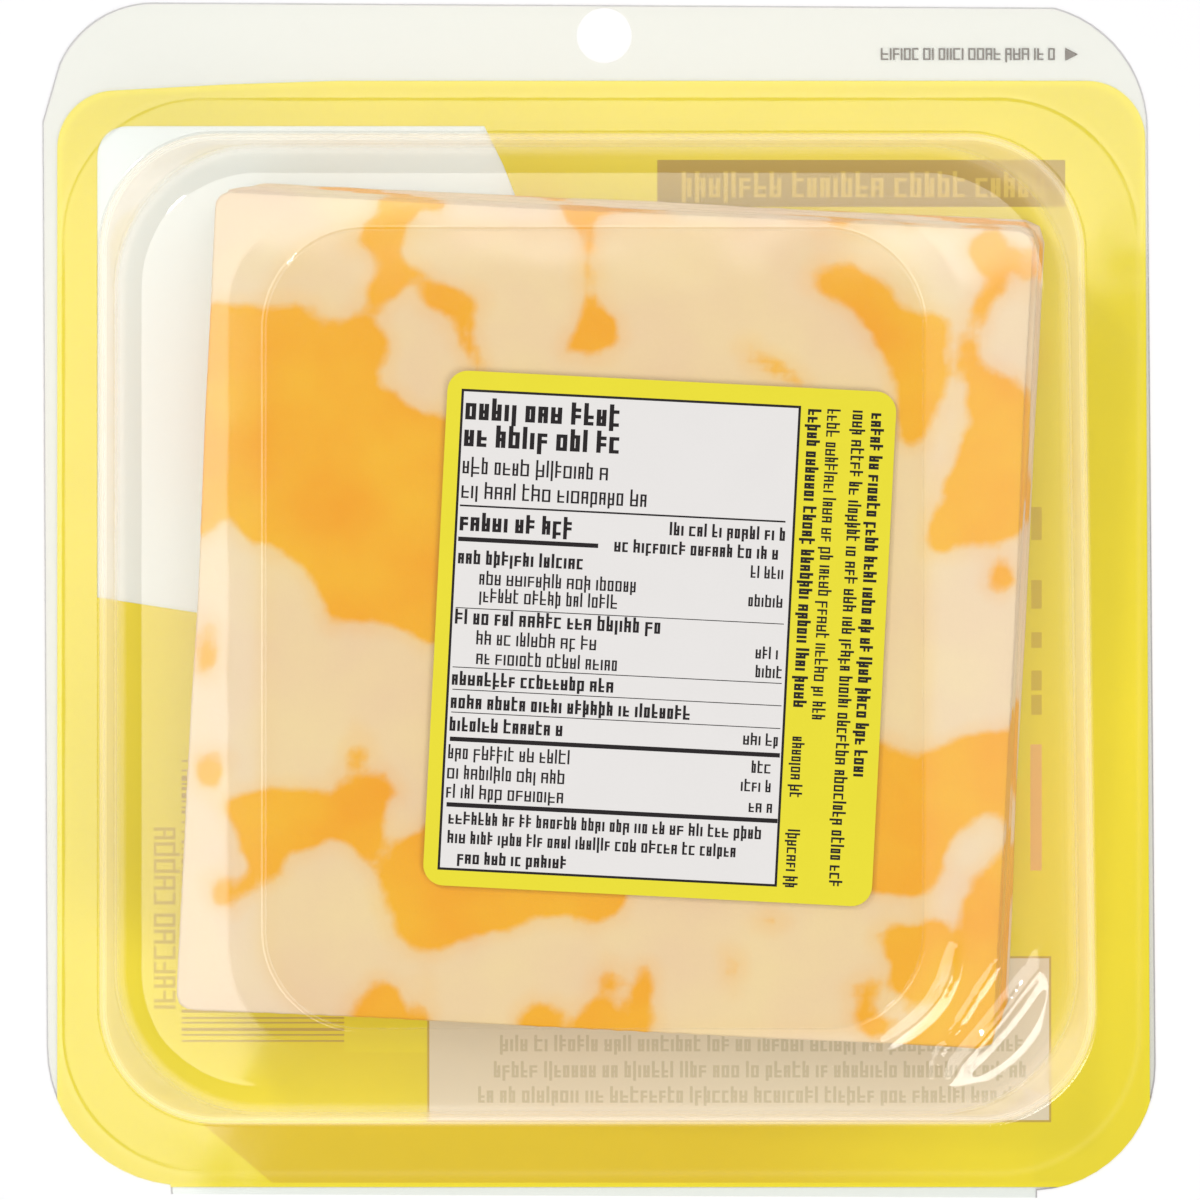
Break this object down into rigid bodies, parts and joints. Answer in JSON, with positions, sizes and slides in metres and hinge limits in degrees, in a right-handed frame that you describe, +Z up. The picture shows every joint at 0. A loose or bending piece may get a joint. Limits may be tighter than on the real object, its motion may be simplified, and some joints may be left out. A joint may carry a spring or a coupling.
{
  "type": "pack of sliced cheese",
  "caption": "Sealed pack of marbled cheese slices: clear moulded tray with a wide flange on a printed film, hang hole in the header, paper label on the tray floor.",
  "frame": {"origin": "middle of the footprint, on the underside of the lid film", "axes": "+Y towards the header with the hang hole, +Z up through the tray, +X to the right seen from above"},
  "size_m": [0.128, 0.1374, 0.0267],
  "materials": {
    "printed_film": "glossy film printed yellow, with a clear header and a clear window",
    "clear_tray": "clear thermoformed plastic, glossy, slightly hazy on the walls",
    "paper_label": "semi-matt printed paper",
    "cheese": "marbled orange and pale cheese, soft satin"
  },
  "bodies": {
    "root": {"lid_film": "printed_film", "tray": "clear_tray", "label": "paper_label", "slice_01": "cheese", "slice_02": "cheese", "slice_03": "cheese", "slice_04": "cheese", "slice_05": "cheese", "slice_06": "cheese", "slice_07": "cheese", "slice_08": "cheese", "slice_09": "cheese", "slice_10": "cheese", "slice_11": "cheese", "slice_12": "cheese"}
  },
  "joints": []
}
